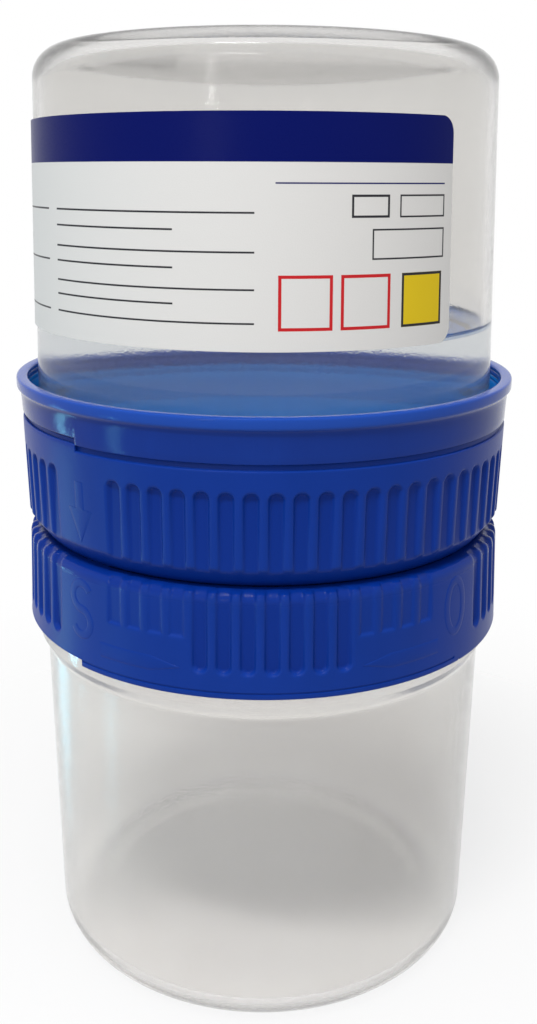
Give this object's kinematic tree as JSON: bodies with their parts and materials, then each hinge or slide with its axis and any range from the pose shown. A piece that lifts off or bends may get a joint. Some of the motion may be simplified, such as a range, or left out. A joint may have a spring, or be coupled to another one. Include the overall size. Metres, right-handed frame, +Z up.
{
  "type": "formalin specimen container",
  "caption": "Two equal screw jars joined mouth to mouth by a turning two-port valve: a clear prefilled reservoir above, a frosted specimen jar below, with ribbed blue caps and a flared collar.",
  "frame": {"origin": "centre of the specimen jar's foot ring, on the surface that it stands on", "axes": "+Z up along the common axis of both jars, -Y towards the front, where the valve's marks face, +X to the right"},
  "size_m": [0.0766, 0.0766, 0.1398],
  "materials": {
    "frosted_polypropylene": "frosted, milky and translucent",
    "clear_polypropylene": "clear with a slight grey haze, glossy",
    "blue_polypropylene": "satin injection-moulded blue",
    "seal_rubber": "matt pale silicone",
    "gasket_foam": "matt white soft foam",
    "white_acetal": "smooth white",
    "label_film": null,
    "formalin": "clear colourless liquid"
  },
  "bodies": {
    "specimen": {"specimen_jar": "frosted_polypropylene"},
    "lower_gasket": {"specimen_gasket": "gasket_foam"},
    "lower_valve": {"lower_cap": "blue_polypropylene", "valve_seal": "seal_rubber", "valve_pivot": "white_acetal", "pivot_clip": "white_acetal"},
    "upper_valve": {"upper_cap": "blue_polypropylene", "lock_collar": "blue_polypropylene"},
    "upper_gasket": {"reservoir_gasket": "gasket_foam"},
    "reservoir": {"reservoir_jar": "clear_polypropylene", "reservoir_label": "label_film", "formalin_fill": "formalin"}
  },
  "joints": [
    {"name": "lower_cap_rise", "type": "slide", "parent": "specimen", "child": "lower_gasket", "axis": [0, 0, 1], "range_m": [0, 0.01501]},
    {"name": "lower_cap_turn", "type": "hinge", "parent": "lower_gasket", "child": "lower_valve", "pos_m": [0, 0, 0.0662], "axis": [0, 0, 1], "range_deg": [0, 900]},
    {"name": "valve_turn", "type": "hinge", "parent": "lower_valve", "child": "upper_valve", "pos_m": [0, 0, 0.0705], "axis": [0, 0, 1], "range_deg": [0, 90]},
    {"name": "reservoir_rise", "type": "slide", "parent": "upper_valve", "child": "upper_gasket", "axis": [0, 0, 1], "range_m": [0, 0.02101]},
    {"name": "reservoir_turn", "type": "hinge", "parent": "upper_gasket", "child": "reservoir", "pos_m": [0, 0, 0.0734], "axis": [0, 0, 1], "range_deg": [0, 1260]}
  ],
  "couplings": [
    {"joint": "lower_cap_rise", "follows": "lower_cap_turn", "m_per_rad": 0.00095493},
    {"joint": "reservoir_rise", "follows": "reservoir_turn", "m_per_rad": 0.00095493}
  ]
}
